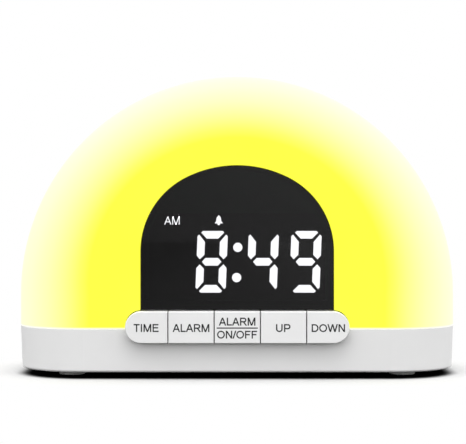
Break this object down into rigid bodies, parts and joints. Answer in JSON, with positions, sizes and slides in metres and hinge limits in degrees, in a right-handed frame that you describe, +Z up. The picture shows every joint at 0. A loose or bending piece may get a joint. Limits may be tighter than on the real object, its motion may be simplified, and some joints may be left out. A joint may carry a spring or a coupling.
{
  "type": "sunrise alarm clock",
  "caption": "Half-round wake-up lamp with a digital clock display in an arched window, a bar of press keys and a shallow base with a battery door.",
  "frame": {"origin": "on the table under the middle of the whole clock's bounding box", "axes": "+X to the right of the dial, the display and keys face -Y, +Z up"},
  "size_m": [0.1386, 0.061, 0.0948],
  "materials": {
    "diffuser": "milky moulded lamp cover, satin, lit from inside in warm yellow",
    "base_shell": "fine-textured light grey-white moulded housing",
    "key_cap": "smooth moulded key caps",
    "foot_rubber": "grey rubber pads",
    "screw_steel": "plated screws",
    "smoked_lens": "smoked polished acrylic window",
    "gasket_foam": "black foam ring",
    "black_plastic": "black moulded plastic",
    "lit_segment": "milky segment lit white",
    "unlit_segment": "smoked segment that is off",
    "circuit_board": "green circuit board",
    "white_board": "white lamp circuit board",
    "white_plastic": "white reflecting plastic",
    "chip_case": "black moulded package",
    "can_metal": "drawn metal can",
    "cell_can": "sleeved dry cell",
    "contact_plate": "plated spring strip",
    "lamp_package": "lamp package with a yellow window",
    "speaker_steel": "pressed steel basket",
    "speaker_paper": "dark cone",
    "magnet": "plated magnet",
    "inlet_metal": "folded plated shell"
  },
  "bodies": {
    "clock_case": {"dome_diffuser": "diffuser", "base_housing": "base_shell", "rubber_feet": "foot_rubber", "housing_screws": "screw_steel", "battery_cells": "cell_can", "positive_contacts": "contact_plate", "negative_contacts": "contact_plate", "display_lens": "smoked_lens", "lens_gasket": "gasket_foam", "display_shroud": "black_plastic", "display_module": "black_plastic", "lit_segments": "lit_segment", "unlit_segments": "unlit_segment", "main_board": "circuit_board", "clock_chip": "chip_case", "clock_crystal": "can_metal", "main_capacitor": "can_metal", "board_screws": "screw_steel", "display_cover": "white_plastic", "switch_bodies": "chip_case", "key_board": "circuit_board", "lamp_deck": "white_plastic", "lamp_board": "white_board", "lamp_leds": "lamp_package", "deck_screws": "screw_steel", "speaker_frame": "speaker_steel", "speaker_cone": "speaker_paper", "speaker_magnet": "magnet", "inlet_shell": "inlet_metal", "inlet_tongue": "chip_case", "power_board": "circuit_board", "power_capacitor": "can_metal", "power_board_screws": "screw_steel"},
    "battery_door": {"battery_door": "base_shell"},
    "time_key": {"time_button": "key_cap", "time_button_plunger": "white_plastic"},
    "alarm_set_key": {"alarm_set_button": "key_cap", "alarm_set_button_plunger": "white_plastic"},
    "alarm_switch_key": {"alarm_switch_button": "key_cap", "alarm_switch_button_plunger": "white_plastic"},
    "up_key": {"up_button": "key_cap", "up_button_plunger": "white_plastic"},
    "down_key": {"down_button": "key_cap", "down_button_plunger": "white_plastic"}
  },
  "joints": [
    {"name": "time_press", "type": "slide", "parent": "clock_case", "child": "time_key", "axis": [0, 1, 0], "range_m": [0, 0.0005], "stiffness_N_per_m": 1200},
    {"name": "alarm_set_press", "type": "slide", "parent": "clock_case", "child": "alarm_set_key", "axis": [0, 1, 0], "range_m": [0, 0.0005], "stiffness_N_per_m": 1200},
    {"name": "alarm_switch_press", "type": "slide", "parent": "clock_case", "child": "alarm_switch_key", "axis": [0, 1, 0], "range_m": [0, 0.0005], "stiffness_N_per_m": 1200},
    {"name": "up_press", "type": "slide", "parent": "clock_case", "child": "up_key", "axis": [0, 1, 0], "range_m": [0, 0.0005], "stiffness_N_per_m": 1200},
    {"name": "down_press", "type": "slide", "parent": "clock_case", "child": "down_key", "axis": [0, 1, 0], "range_m": [0, 0.0005], "stiffness_N_per_m": 1200},
    {"name": "battery_door_hinge", "type": "hinge", "parent": "clock_case", "child": "battery_door", "pos_m": [0, -0.0111, 0.002], "axis": [-1, 0, 0], "range_deg": [0, 70]}
  ]
}
